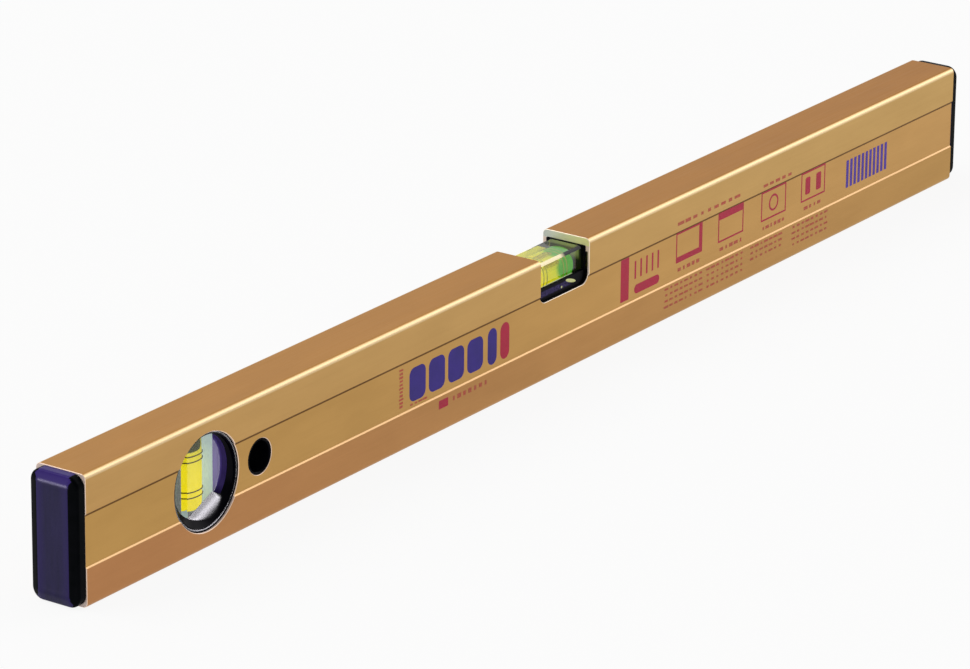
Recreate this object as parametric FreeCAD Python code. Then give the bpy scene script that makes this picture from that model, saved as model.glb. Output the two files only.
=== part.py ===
import FreeCAD, Part
import math
import os

# A 600 mm box-section spirit level with a magnetic sole, in millimetres.
# X runs along the level with the plumb vial at the left end, the face that is read points to -Y,
# Z is up, and the origin is on the sole, under the middle of the section.

# Section of the aluminium box
section_width = 22.0
section_height = 50.0
corner_round = 2.0
side_wall = 1.8
sole_wall = 4.0
top_wall = 3.0
band_rise = 9.9
band_drop = 10.6
band_depth = 0.5
hollow_round = 0.8

# Lengths
profile_length = 590.0
cap_thickness = 5.0

# Places of the openings in the box
window_x = -226.0
window_radius = 18.7
hang_hole_x = -194.8
hang_hole_radius = 6.9
cutout_half_length = 16.6
cutout_bottom = 32.1
cutout_round = 4.0

# Vials: a clear block with a barrel-shaped bore, closed and rounded at one end, plugged at the other
block_side = 15.0
bore_half_length = 13.5
bore_radius = 4.9
bore_end_radius = 4.7
bore_end_round = 2.4
plug_radius = 3.6
inner_ring_offset = 5.7
outer_ring_offset = 7.9
ring_width = 0.4
ring_height = 0.3
ring_skin = 0.05
edge_bevel = 0.4
level_block_half_length = 16.0
level_block_top = 46.7
plumb_block_half_length = 18.6
plumb_vial_middle = 27.0

# Bubbles: the level vial's long one lies under the bore's crown, the plumb vial's stands at the top end
level_bubble_radius = 1.9
level_bubble_half_length = 5.5
plumb_bubble_radius = 4.3
plumb_bubble_height = 4.4
plumb_bubble_round = 1.6
film = 0.2

# Carrier of the level vial
carrier_half_length = 20.0
carrier_lip_top = 37.5
carrier_floor = 3.0
carrier_leg = 3.5
carrier_play = 0.1

# Housing of the plumb vial, in two halves that meet at the middle of the section
rim_inset = 0.6
funnel_mouth_radius = 17.5
housing_bore_radius = 15.7
housing_bore_lift = 1.5
funnel_land = 0.3
housing_flange_radius = 20.6
housing_flange_depth = 2.0
housing_web = 1.5
housing_web_face = 4.6
housing_cavity_radius = 15.0
rim_chamfer = 0.4

# Bush of the hang hole
bush_bore_radius = 5.9
bush_inset = 0.1
bush_chamfer = 0.4

# End caps
cap_inset = 0.4
cap_round = 4.6
cap_bevel_width = 2.8
cap_bevel_depth = 1.2
cap_soft_edge = 0.7
cap_panel_margin = 5.0
cap_panel_depth = 0.4
cap_plug_length = 14.0
cap_plug_wall = 2.0
cap_rib_radius = 0.35
cap_rib_offset = 14.0

# Magnet sets, let into the sole
magnet_set_x = 150.0
pocket_length = 64.0
pocket_width = 11.0
pocket_depth = 3.0
cup_wall = 1.2
cup_base = 0.8
magnet_gap = 1.0
resin_gap = 0.6

half_width = section_width / 2
half_profile = profile_length / 2
hollow_half_width = half_width - side_wall
hollow_top = section_height - top_wall
middle_z = (sole_wall + hollow_top) / 2
band_low = middle_z - band_drop
band_high = middle_z + band_rise
band_face = half_width - band_depth
block_half = block_side / 2
level_axis_z = level_block_top - block_half
overshoot = 1.0
same_place = 1e-6

along_x = FreeCAD.Vector(1, 0, 0)
along_y = FreeCAD.Vector(0, 1, 0)
along_z = FreeCAD.Vector(0, 0, 1)


def box(x0, x1, y0, y1, z0, z1):
    return Part.makeBox(x1 - x0, y1 - y0, z1 - z0, FreeCAD.Vector(x0, y0, z0))


def rod(radius, start, end):
    """A round rod from one point to another."""
    path = FreeCAD.Vector(*end) - FreeCAD.Vector(*start)
    return Part.makeCylinder(radius, path.Length, FreeCAD.Vector(*start), path)


def edges_where(shape, test):
    """The edges whose two ends both pass a test."""
    return [edge for edge in shape.Edges if all(test(vertex.Point) for vertex in edge.Vertexes)]


def along_the_length(edge):
    ends = [vertex.Point for vertex in edge.Vertexes]
    if len(ends) != 2:
        return False
    return abs(ends[0].y - ends[1].y) < same_place and abs(ends[0].z - ends[1].z) < same_place


def long_box(x0, x1, half_y, z0, z1, rounding):
    """A box along the level whose four long edges are rounded."""
    solid = box(x0, x1, -half_y, half_y, z0, z1)
    return solid.makeFillet(rounding, [edge for edge in solid.Edges if along_the_length(edge)])


def band_recess(side):
    """The shallow trough with sloping flanks that runs along one side of the box."""
    outer_y = side * (half_width + overshoot)
    outline = [
        (outer_y, band_low - overshoot),
        (side * band_face, band_low + band_depth),
        (side * band_face, band_high - band_depth),
        (outer_y, band_high + overshoot),
    ]
    points = [FreeCAD.Vector(-half_profile, y, z) for y, z in outline]
    face = Part.Face(Part.makePolygon(points + points[:1]))
    return face.extrude(along_x * profile_length)


def rounded_slot(x_middle, length, width, z0, z1):
    """A block with full round ends, as an end mill leaves it."""
    radius = width / 2
    straight = length / 2 - radius
    solid = box(x_middle - straight, x_middle + straight, -radius, radius, z0, z1)
    for end in (-straight, straight):
        solid = solid.fuse(rod(radius, (x_middle + end, 0, z0), (x_middle + end, 0, z1)))
    return solid.removeSplitter()


def magnet_pocket(x_middle):
    return rounded_slot(x_middle, pocket_length, pocket_width, 0, pocket_depth)


def cut_out():
    """The notch for the level vial, through the top and both sides, with round lower corners."""
    notch = box(
        -cutout_half_length, cutout_half_length,
        -half_width - overshoot, half_width + overshoot,
        cutout_bottom, section_height + overshoot,
    )
    lower = [
        edge for edge in notch.Edges
        if all(abs(vertex.Point.z - cutout_bottom) < same_place for vertex in edge.Vertexes)
        and abs(edge.Vertexes[0].Point.x - edge.Vertexes[1].Point.x) < same_place
    ]
    return notch.makeFillet(cutout_round, lower)


def box_profile():
    """The extruded aluminium box, cut to length, drilled and milled."""
    body = long_box(-half_profile, half_profile, half_width, 0, section_height, corner_round)
    hollow = long_box(
        -half_profile - overshoot, half_profile + overshoot,
        hollow_half_width, sole_wall, hollow_top, hollow_round,
    )
    through = half_width + overshoot
    cutters = [
        hollow,
        band_recess(-1),
        band_recess(1),
        cut_out(),
        rod(window_radius, (window_x, -through, middle_z), (window_x, through, middle_z)),
        rod(hang_hole_radius, (hang_hole_x, -through, middle_z), (hang_hole_x, through, middle_z)),
        magnet_pocket(-magnet_set_x),
        magnet_pocket(magnet_set_x),
    ]
    for cutter in cutters:
        body = body.cut(cutter)
    return body


def turn_to_side(shape, side):
    """Turns a left-hand piece round the vertical for the right end."""
    if side > 0:
        shape = shape.copy()
        shape.rotate(FreeCAD.Vector(0, 0, 0), along_z, 180)
    return shape


def cap_outline(x, half_y, low, high, rounding):
    """A closed outline of a rectangle with round corners, across the level at one x."""
    lean = math.sqrt(0.5) * rounding
    corners = ((1, high, 1, -1), (-1, high, 1, 1), (-1, low, -1, 1), (1, low, -1, -1))
    arcs = []
    for y_side, z, z_side, order in corners:
        centre_y = y_side * (half_y - rounding)
        centre_z = z - z_side * rounding
        ends = [
            FreeCAD.Vector(x, centre_y + y_side * rounding, centre_z),
            FreeCAD.Vector(x, centre_y, centre_z + z_side * rounding),
        ]
        if y_side * z_side < 0:
            ends.reverse()
        middle = FreeCAD.Vector(x, centre_y + y_side * lean, centre_z + z_side * lean)
        arcs.append(Part.Arc(ends[0], middle, ends[1]).toShape())
    edges = []
    for index, arc in enumerate(arcs):
        following = arcs[(index + 1) % len(arcs)]
        edges += [arc, Part.makeLine(arc.Vertexes[-1].Point, following.Vertexes[0].Point)]
    return Part.Wire(edges)


def cap_front(outer_x, half_y, low, high):
    """The bevelled front of a cap's head, from its full outline down to its end face."""
    full = cap_outline(outer_x + cap_bevel_depth, half_y, low, high, cap_round)
    end = cap_outline(
        outer_x, half_y - cap_bevel_width, low + cap_bevel_width, high - cap_bevel_width,
        cap_round - cap_bevel_width,
    )
    return Part.makeLoft([full, end], True, True)


def end_cap(side):
    """A moulded cap: bevelled head with a sunk panel, and a hollow plug with crush ribs."""
    outer_x = -half_profile - cap_thickness
    half_y = half_width - cap_inset
    low = cap_inset
    high = section_height - cap_inset
    head = long_box(outer_x, -half_profile, half_y, low, high, cap_round)
    front = box(outer_x, outer_x + cap_bevel_depth, -half_y, half_y, low, high)
    head = head.cut(front).fuse(cap_front(outer_x, half_y, low, high)).removeSplitter()
    bevel_edges = edges_where(head, lambda point: point.x < outer_x + cap_bevel_depth + same_place)
    head = head.makeFillet(cap_soft_edge, bevel_edges)
    panel = long_box(
        outer_x - overshoot, outer_x + cap_panel_depth, half_y - cap_panel_margin,
        low + cap_panel_margin, high - cap_panel_margin, corner_round,
    )
    head = head.cut(panel)

    plug_end = -half_profile + cap_plug_length
    plug_half = hollow_half_width - cap_rib_radius
    plug_low = sole_wall + cap_rib_radius
    plug_high = hollow_top - cap_rib_radius
    plug = long_box(-half_profile, plug_end, plug_half, plug_low, plug_high, hollow_round)
    core = long_box(
        -half_profile, plug_end + overshoot, plug_half - cap_plug_wall,
        plug_low + cap_plug_wall, plug_high - cap_plug_wall, hollow_round,
    )
    plug = plug.cut(core)
    for rib_z in (middle_z - cap_rib_offset, middle_z, middle_z + cap_rib_offset):
        for y in (-plug_half, plug_half):
            rib = rod(cap_rib_radius, (-half_profile, y, rib_z), (plug_end, y, rib_z))
            plug = plug.fuse(rib)
    return turn_to_side(head.fuse(plug).removeSplitter(), side)


def bore_profile():
    """Half of the bore's outline, from its open end to its rounded one, to turn about the vial's axis."""
    end_x = bore_half_length
    centre_x = end_x - bore_end_round
    centre_r = bore_end_radius - bore_end_round
    lean = math.sqrt(0.5) * bore_end_round
    crown = Part.Arc(
        FreeCAD.Vector(-end_x, 0, bore_end_radius),
        FreeCAD.Vector(0, 0, bore_radius),
        FreeCAD.Vector(centre_x, 0, bore_end_radius),
    )
    corner = Part.Arc(
        FreeCAD.Vector(centre_x, 0, bore_end_radius),
        FreeCAD.Vector(centre_x + lean, 0, centre_r + lean),
        FreeCAD.Vector(end_x, 0, centre_r),
    )
    lines = [
        Part.LineSegment(FreeCAD.Vector(end_x, 0, centre_r), FreeCAD.Vector(end_x, 0, 0)),
        Part.LineSegment(FreeCAD.Vector(end_x, 0, 0), FreeCAD.Vector(-end_x, 0, 0)),
        Part.LineSegment(FreeCAD.Vector(-end_x, 0, 0), FreeCAD.Vector(-end_x, 0, bore_end_radius)),
    ]
    return Part.Wire([crown.toShape(), corner.toShape()] + [line.toShape() for line in lines])


def bore():
    """The space that the fluid and the bubble share."""
    return Part.Face(bore_profile()).revolve(FreeCAD.Vector(0, 0, 0), along_x, 360)


def ring_mark(x):
    """One dark ring, moulded into the block around the bore."""
    start, end = x - ring_width / 2, x + ring_width / 2
    outer = rod(bore_radius + ring_skin + ring_height, (start, 0, 0), (end, 0, 0))
    return outer.cut(rod(bore_radius + ring_skin, (start, 0, 0), (end, 0, 0)))


def ring_marks():
    offsets = (-outer_ring_offset, -inner_ring_offset, inner_ring_offset, outer_ring_offset)
    return Part.makeCompound([ring_mark(offset) for offset in offsets])


def plug(block_half_length):
    return rod(plug_radius, (-block_half_length, 0, 0), (-bore_half_length, 0, 0))


def vial_block(block_half_length):
    """The clear block with its edges bevelled, its bore, its ring marks' seats and its plug's seat."""
    solid = box(
        -block_half_length, block_half_length, -block_half, block_half, -block_half, block_half,
    )
    solid = solid.makeChamfer(edge_bevel, solid.Edges)
    return solid.cut(bore()).cut(plug(block_half_length)).cut(ring_marks())


def capsule(radius, half_length, x, z):
    """A long bubble with round ends, lying along the vial."""
    straight = half_length - radius
    middle = rod(radius, (x - straight, 0, z), (x + straight, 0, z))
    ends = [Part.makeSphere(radius, FreeCAD.Vector(x + end, 0, z)) for end in (-straight, straight)]
    return middle.fuse(ends).removeSplitter()


def slug(radius, start, length, rounding):
    """A short bubble as wide as the bore, with its two rims rounded."""
    solid = rod(radius, (start, 0, 0), (start + length, 0, 0))
    return solid.makeFillet(rounding, [edge for edge in solid.Edges if edge.isClosed()])


level_bubble_z = bore_end_radius - film - level_bubble_radius
level_bubble_travel = bore_half_length - level_bubble_half_length - bore_end_round
plumb_bubble_start = -bore_half_length + film
plumb_bubble_travel = 2 * bore_half_length - plumb_bubble_height - bore_end_round - film


def level_bubble():
    """The long bubble, under the crown of the bore and centred between the rings."""
    return capsule(level_bubble_radius, level_bubble_half_length, 0, level_bubble_z)


def plumb_bubble():
    """The bubble that has risen to the plugged end of the upright vial."""
    return slug(plumb_bubble_radius, plumb_bubble_start, plumb_bubble_height, plumb_bubble_round)


def fluid(bubble):
    """The fluid fills the bore around the bubble."""
    return bore().cut(bubble)


def lay_level_vial(shape):
    shape.translate(FreeCAD.Vector(0, 0, level_axis_z))
    return shape


def stand_plumb_vial(shape):
    """Stands a vial upright, with its rounded end down, in the round window."""
    shape.rotate(FreeCAD.Vector(0, 0, 0), along_y, 90)
    shape.translate(FreeCAD.Vector(window_x, 0, plumb_vial_middle))
    return shape


def level_vial_carrier():
    """The moulded bridge that holds the level vial's block from below and at both ends."""
    outer_half = hollow_half_width - carrier_play
    pocket = level_block_half_length
    shell = box(
        -carrier_half_length, carrier_half_length, -outer_half, outer_half,
        sole_wall, hollow_top - carrier_play,
    )
    block_bottom = level_axis_z - block_half
    under = box(
        -carrier_half_length + carrier_leg, carrier_half_length - carrier_leg,
        -outer_half - overshoot, outer_half + overshoot,
        sole_wall - overshoot, block_bottom - carrier_floor,
    )
    above = box(
        -pocket, pocket, -outer_half - overshoot, outer_half + overshoot,
        carrier_lip_top, section_height,
    )
    seat = box(-pocket, pocket, -block_half, block_half, block_bottom, section_height)
    return shell.cut(under).cut(above).cut(seat)


def plumb_housing(side):
    """One half of the round housing: nose in the wall's hole, flange behind the wall, funnel and web."""
    rim_y = band_face - rim_inset
    flange_y = hollow_half_width - carrier_play

    def disc(radius, y0, y1):
        return rod(radius, (window_x, side * y0, middle_z), (window_x, side * y1, middle_z))

    nose = disc(window_radius, 0, rim_y)
    rim = edges_where(nose, lambda point: abs(point.y) > rim_y - same_place)
    nose = nose.makeChamfer(rim_chamfer, rim)
    body = nose.fuse(disc(housing_flange_radius, flange_y - housing_flange_depth, flange_y))
    bore_middle = middle_z + housing_bore_lift
    bore_start = (window_x, side * housing_web_face, bore_middle)
    body = body.cut(rod(housing_bore_radius, bore_start, (window_x, side * block_half, bore_middle)))
    body = body.cut(funnel(side, rim_y))
    cavity_end = (window_x, side * (housing_web_face - housing_web), bore_middle)
    body = body.cut(rod(housing_cavity_radius, (window_x, 0, bore_middle), cavity_end))
    slot = box(
        window_x - block_half, window_x + block_half, -block_half, block_half,
        plumb_vial_middle - plumb_block_half_length, plumb_vial_middle + plumb_block_half_length,
    )
    return body.cut(slot).removeSplitter()


def funnel(side, rim_y):
    """The mouth of the housing: a cone about the raised bore, kept inside a round mouth."""
    depth = rim_y - block_half
    growth = (funnel_mouth_radius + housing_bore_lift - housing_bore_radius) / (depth - funnel_land)
    reach = depth + overshoot
    cone = Part.makeCone(
        housing_bore_radius, housing_bore_radius + growth * reach, reach,
        FreeCAD.Vector(window_x, side * block_half, middle_z + housing_bore_lift), along_y * side,
    )
    outside = side * (rim_y + overshoot)
    mouth = rod(funnel_mouth_radius, (window_x, 0, middle_z), (window_x, outside, middle_z))
    return cone.common(mouth)


def hang_hole_bush():
    """The sleeve that lines the hang hole from wall to wall."""
    end = band_face - bush_inset
    past = end + overshoot
    sleeve = rod(hang_hole_radius, (hang_hole_x, -end, middle_z), (hang_hole_x, end, middle_z))
    hole = rod(bush_bore_radius, (hang_hole_x, -past, middle_z), (hang_hole_x, past, middle_z))
    sleeve = sleeve.cut(hole)
    rims = [
        edge for edge in sleeve.Edges
        if edge.isClosed() and abs(edge.Curve.Radius - bush_bore_radius) < same_place
    ]
    return sleeve.makeChamfer(bush_chamfer, rims)


def magnet_cup(x_middle):
    """The steel cup whose rim lies in the plane of the sole and carries the magnets' field."""
    cup = rounded_slot(x_middle, pocket_length, pocket_width, 0, pocket_depth)
    return cup.cut(cup_inside(x_middle))


def cup_inside(x_middle):
    return rounded_slot(
        x_middle, pocket_length - 2 * cup_wall, pocket_width - 2 * cup_wall,
        0, pocket_depth - cup_base,
    )


def magnet(x_middle, end):
    """One bar magnet; two lie end to end in each cup."""
    half_y = pocket_width / 2 - cup_wall - resin_gap
    near = magnet_gap / 2
    far = pocket_length / 2 - pocket_width / 2
    x0, x1 = sorted((x_middle + end * near, x_middle + end * far))
    return box(x0, x1, -half_y, half_y, 0, pocket_depth - cup_base)


def magnet_resin(x_middle):
    """The resin that fills the cup around its two magnets, flush with the sole."""
    return cup_inside(x_middle).cut(magnet(x_middle, -1)).cut(magnet(x_middle, 1))


def save(name, shape):
    shape.exportStep(os.path.join("parts", name + ".step"))
    bounds = shape.BoundBox
    print("%-22s %d solid(s) valid %s volume %.1f z %.2f to %.2f" % (
        name, len(shape.Solids), shape.isValid(), shape.Volume, bounds.ZMin, bounds.ZMax,
    ))


def main():
    os.makedirs("parts", exist_ok=True)
    save("box_profile", box_profile())
    save("end_cap_left", end_cap(-1))
    save("end_cap_right", end_cap(1))

    save("level_vial_carrier", level_vial_carrier())
    save("level_vial_block", lay_level_vial(vial_block(level_block_half_length)))
    save("level_vial_plug", lay_level_vial(plug(level_block_half_length)))
    save("level_vial_rings", lay_level_vial(ring_marks()))
    save("level_vial_fluid", lay_level_vial(fluid(level_bubble())))
    save("level_vial_bubble", lay_level_vial(level_bubble()))

    save("plumb_housing_front", plumb_housing(-1))
    save("plumb_housing_rear", plumb_housing(1))
    save("plumb_vial_block", stand_plumb_vial(vial_block(plumb_block_half_length)))
    save("plumb_vial_plug", stand_plumb_vial(plug(plumb_block_half_length)))
    save("plumb_vial_rings", stand_plumb_vial(ring_marks()))
    save("plumb_vial_fluid", stand_plumb_vial(fluid(plumb_bubble())))
    save("plumb_vial_bubble", stand_plumb_vial(plumb_bubble()))

    save("hang_hole_bush", hang_hole_bush())
    for side_name, x_middle in (("left", -magnet_set_x), ("right", magnet_set_x)):
        save("magnet_cup_" + side_name, magnet_cup(x_middle))
        save("magnet_" + side_name + "_outer", magnet(x_middle, math.copysign(1, x_middle)))
        save("magnet_" + side_name + "_inner", magnet(x_middle, -math.copysign(1, x_middle)))
        save("magnet_resin_" + side_name, magnet_resin(x_middle))
    travels = (level_bubble_travel, plumb_bubble_travel)
    print("level bubble travel %.2f, plumb bubble travel %.2f" % travels)


main()
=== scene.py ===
import bmesh
import bpy
import math
from mathutils import Matrix, Vector


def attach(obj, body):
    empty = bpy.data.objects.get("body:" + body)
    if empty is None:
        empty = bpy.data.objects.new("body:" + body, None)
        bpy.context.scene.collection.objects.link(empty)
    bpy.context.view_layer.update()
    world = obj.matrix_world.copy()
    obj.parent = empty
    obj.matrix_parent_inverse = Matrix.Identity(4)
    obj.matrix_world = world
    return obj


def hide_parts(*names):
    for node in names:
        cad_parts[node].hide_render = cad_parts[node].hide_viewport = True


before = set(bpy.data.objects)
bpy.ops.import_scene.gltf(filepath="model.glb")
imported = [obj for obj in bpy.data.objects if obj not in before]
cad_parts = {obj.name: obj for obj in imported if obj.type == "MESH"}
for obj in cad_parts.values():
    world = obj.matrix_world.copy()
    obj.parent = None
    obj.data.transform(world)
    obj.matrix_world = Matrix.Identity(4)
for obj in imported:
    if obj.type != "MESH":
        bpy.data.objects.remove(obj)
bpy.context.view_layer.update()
print("stage: packed frame loaded")

# Lengths are written in millimetres, and a mesh is scaled to metres when it becomes a piece.
millimetre = 0.001
plain = (1.0, 1.0, 1.0)
white = (1.0, 1.0, 1.0, 1.0)

section = dict(
    halfWidth=11.0, height=50.0, cornerRound=2.0, halfLength=295.0,
    hollowHalf=9.2, hollowLow=4.0, hollowHigh=47.0, hollowRound=0.8,
    bandLow=14.9, bandHigh=35.4, bandDepth=0.5, bandRound=0.15,
)
middleZ = (section["hollowLow"] + section["hollowHigh"]) / 2
bandFace = section["halfWidth"] - section["bandDepth"]


def paint(red, green, blue):
    # a colour as a picture shows it, turned to linear light
    values = [channel / 255 for channel in (red, green, blue)]
    return tuple(v / 12.92 if v <= 0.04045 else ((v + 0.055) / 1.055) ** 2.4 for v in values) + (1.0,)


# Outlines and meshes

def softened(points, rounding, steps=4):
    # an open outline whose inner corners are rounded by a short curve
    result = [points[0]]
    for before, corner, after in zip(points, points[1:], points[2:]):
        toBefore = Vector(before) - Vector(corner)
        toAfter = Vector(after) - Vector(corner)
        reach = min(rounding, toBefore.length * 0.45, toAfter.length * 0.45)
        start = Vector(corner) + toBefore.normalized() * reach
        end = Vector(corner) + toAfter.normalized() * reach
        for step in range(steps + 1):
            t = step / steps
            result.append(tuple(start * (1 - t) ** 2 + Vector(corner) * 2 * t * (1 - t) + end * t ** 2))
    return result + [points[-1]]


def arc(centre, radius, start, sweep, steps):
    # points along an arc, from one angle through another, in degrees
    angles = [math.radians(start + sweep * i / steps) for i in range(steps + 1)]
    return [(centre[0] + radius * math.cos(angle), centre[1] + radius * math.sin(angle)) for angle in angles]


def cornerArc(before, corner, after, radius, steps):
    # a true arc of a radius between two straight lines
    inward = (Vector(before) - Vector(corner)).normalized()
    outward = (Vector(after) - Vector(corner)).normalized()
    half = inward.angle(outward) / 2
    reach = radius / math.tan(half)
    centre = Vector(corner) + (inward + outward).normalized() * (radius / math.sin(half))
    start = Vector(corner) + inward * reach - centre
    end = Vector(corner) + outward * reach - centre
    turn = start.angle(end)
    points = []
    for step in range(steps + 1):
        t = step / steps
        leaning = start * math.sin((1 - t) * turn) + end * math.sin(t * turn)
        points.append(tuple(centre + leaning / math.sin(turn)))
    return points


def rectangle(left, right, low, high):
    return [(left, low), (right, low), (right, high), (left, high)]


def roundedBox(halfWidth, low, high, radius, steps=8, middle=0.0):
    # points round a rectangle with round corners
    side, top, bottom = halfWidth - radius, high - radius, low + radius
    centres = [(middle + side, top), (middle - side, top), (middle - side, bottom), (middle + side, bottom)]
    return [point for turn, centre in enumerate(centres) for point in arc(centre, radius, 90 * turn, 90, steps)]


def stadium(middle, halfLength, radius, level=0.0):
    # points round a slot with full round ends
    reach = halfLength - radius
    rightEnd = arc((middle + reach, level), radius, -90, 180, 16)
    return rightEnd + arc((middle - reach, level), radius, 90, 180, 16)


def disc(centre, radius):
    return arc(centre, radius, 0, 360, 40)[:-1]


def addLoft(mesh, loops, joinEnds=False):
    # bridges loops of equally many points; the loops are lists of (x, y, z)
    rings = [[mesh.verts.new(point) for point in loop] for loop in loops]
    faces = []
    for first, second in list(zip(rings, rings[1:])) + ([(rings[-1], rings[0])] if joinEnds else []):
        for i in range(len(first)):
            j = (i + 1) % len(first)
            faces.append(mesh.faces.new((first[i], first[j], second[j], second[i])))
    if not joinEnds:
        faces += [mesh.faces.new(rings[0][::-1]), mesh.faces.new(rings[-1])]
    return faces


def addPrism(mesh, outline, start, end, axis):
    # an outline pushed along "x", "y" or "z"; its points hold the other two
    at = "xyz".index(axis)
    return addLoft(mesh, [[(*point[:at], along, *point[at:]) for point in outline] for along in (start, end)])


def addTurned(mesh, profile, place, segments=96, closed=False):
    # turns (along, radius) points about the X axis and then puts them in place; closed joins last to first
    rings = []
    for along, radius in profile:
        if radius < 1e-6:
            rings.append([mesh.verts.new(place @ Vector((along, 0, 0)))])
            continue
        angles = [2 * math.pi * i / segments for i in range(segments)]
        points = [Vector((along, radius * math.cos(angle), radius * math.sin(angle))) for angle in angles]
        rings.append([mesh.verts.new(place @ point) for point in points])
    for first, second in list(zip(rings, rings[1:])) + ([(rings[-1], rings[0])] if closed else []):
        for i in range(segments):
            j = (i + 1) % segments
            corners = [ring[at % len(ring)] for ring, at in ((first, i), (first, j), (second, j), (second, i))]
            distinct = list(dict.fromkeys(corners))
            if len(distinct) > 2:
                mesh.faces.new(distinct)


def addTube(mesh, start, end, radius, place, segments=96):
    # a plain closed cylinder
    addTurned(mesh, [(start, 0), (start, radius), (end, radius), (end, 0)], place, segments)


def linked(name, data):
    obj = bpy.data.objects.new(name, data)
    bpy.context.scene.collection.objects.link(obj)
    return obj


def rawObject(name, mesh, *materials):
    # a bmesh becomes an object whose faces point outwards
    bmesh.ops.recalc_face_normals(mesh, faces=mesh.faces)
    data = bpy.data.meshes.new(name)
    mesh.to_mesh(data)
    mesh.free()
    for material in materials:
        data.materials.append(material)
    return linked(name, data)


def applied(obj):
    # the object's mesh with its modifiers worked in, and the modifiers gone
    graph = bpy.context.evaluated_depsgraph_get()
    graph.update()
    whole = obj.evaluated_get(graph)
    result = bpy.data.meshes.new_from_object(whole, preserve_all_data_layers=True, depsgraph=graph)
    old = obj.data
    obj.modifiers.clear()
    obj.data = result
    result.name = obj.name
    bpy.data.meshes.remove(old)
    return obj


def smoothed(obj, angle):
    # smooth shading on round stretches while flat faces stay flat
    obj.data.shade_smooth()
    obj.data.set_sharp_from_angle(angle=math.radians(angle))
    weighted = obj.modifiers.new("weighted", "WEIGHTED_NORMAL")
    weighted.keep_sharp = True
    weighted.weight = 100
    return applied(obj)


def finishPiece(obj, node=None, body="root", angle=40, scale=millimetre):
    # scales a piece to metres, smooths it and puts it on its body
    obj.data.transform(Matrix.Scale(scale, 4))
    if angle:
        smoothed(obj, angle)
    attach(obj, body)
    if node:
        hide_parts(node)
    return obj


def cutAway(obj, cutters):
    # takes each cutter out of the object, and the new faces keep the cutter's material
    for cutter in cutters:
        step = obj.modifiers.new("cut", "BOOLEAN")
        step.operation = "DIFFERENCE"
        step.solver = "EXACT"
        step.object = cutter
        step.material_mode = "TRANSFER"
    applied(obj)
    for cutter in cutters:
        data = cutter.data
        bpy.data.objects.remove(cutter)
        bpy.data.meshes.remove(data)


def softCopy(name, node, material, width):
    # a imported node's mesh, in metres, merged and with its sharp edges eased
    mesh = bmesh.new()
    mesh.from_mesh(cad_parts[node].data)
    bmesh.ops.remove_doubles(mesh, verts=mesh.verts, dist=1e-6)
    bmesh.ops.dissolve_limit(mesh, angle_limit=math.radians(1), verts=mesh.verts, edges=mesh.edges)
    limit = math.radians(30)
    sharp = [edge for edge in mesh.edges if len(edge.link_faces) == 2 and edge.calc_face_angle() > limit]
    bmesh.ops.bevel(
        mesh, geom=sharp, offset=width * millimetre, offset_type="OFFSET", segments=2,
        profile=0.6, affect="EDGES", clamp_overlap=True,
    )
    markFaces(mesh, 0)
    return finishPiece(rawObject(name, mesh, material), node, angle=32, scale=1.0)


def markFaces(mesh, index):
    for face in mesh.faces:
        face.material_index = index


# Nodes shared by the finishes and the repeated parts

def feed(tree, node, values):
    # each value is a plain one or another node's output
    for socket, value in values.items():
        if isinstance(value, bpy.types.NodeSocket):
            tree.links.new(value, node.inputs[socket])
        else:
            node.inputs[socket].default_value = value


def addNode(tree, kind, values=None, output=0, **settings):
    node = tree.nodes.new(kind)
    for name, setting in settings.items():
        setattr(node, name, setting)
    feed(tree, node, values or {})
    return node.outputs if output is None else node.outputs[output]


def arithmetic(tree, operation, *values):
    return addNode(tree, "ShaderNodeMath", dict(enumerate(values)), operation=operation)


def product(tree, *shares):
    result = shares[0]
    for share in shares[1:]:
        result = arithmetic(tree, "MULTIPLY", result, share)
    return result


def ranged(tree, value, fromLow, fromHigh, toLow=0.0, toHigh=1.0):
    ends = {"From Min": fromLow, "From Max": fromHigh, "To Min": toLow, "To Max": toHigh}
    return addNode(tree, "ShaderNodeMapRange", {"Value": value, **ends}, "Result")


def falling(tree, value, low, high):
    return ranged(tree, value, low, high, 1.0, 0.0)


def between(tree, value, low, high, edge):
    # 1 between two values, with a soft edge just inside each
    return product(tree, ranged(tree, value, low, low + edge), falling(tree, value, high - edge, high))


def blended(tree, factor, first, second, kind="MIX"):
    values = {0: factor, 6: first, 7: second}
    return addNode(tree, "ShaderNodeMix", values, 2, data_type="RGBA", blend_type=kind)


def mixed(tree, factor, first, second):
    return addNode(tree, "ShaderNodeMixShader", {0: factor, 1: first, 2: second})


def surfaced(tree, shader):
    feed(tree, tree.nodes["Material Output"], {"Surface": shader})


def placeOn(tree):
    # where a point lies on its object, as X, Y and Z in millimetres
    place = addNode(tree, "ShaderNodeTexCoord", output="Object")
    scaled = addNode(tree, "ShaderNodeVectorMath", {0: place, "Scale": 1 / millimetre}, operation="SCALE")
    return addNode(tree, "ShaderNodeSeparateXYZ", {0: scaled}, None)


def facingOn(tree):
    # which way the surface faces, as X, Y and Z
    normal = addNode(tree, "ShaderNodeTexCoord", output="Normal")
    return addNode(tree, "ShaderNodeSeparateXYZ", {0: normal}, None)


def grain(tree, size, detail=3.0):
    # noise on the object's own coordinates; size is the grain's length each way
    place = addNode(tree, "ShaderNodeTexCoord", output="Object")
    scale = [1 / (millimetre * length) for length in size]
    mapped = addNode(tree, "ShaderNodeMapping", {"Vector": place, "Scale": scale})
    noise = {"Vector": mapped, "Scale": 1.0, "Detail": detail, "Roughness": 0.5}
    return addNode(tree, "ShaderNodeTexNoise", noise, "Fac")


# Finishes

def startMaterial(name):
    material = bpy.data.materials.new(name)
    material.use_nodes = True
    return material, material.node_tree, material.node_tree.nodes["Principled BSDF"]


def mottled(tree, look):
    # two near shades that wander
    return blended(tree, ranged(tree, grain(tree, look["mottle"]), 0.3, 0.7), look["colour"], look["shade"])


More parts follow.
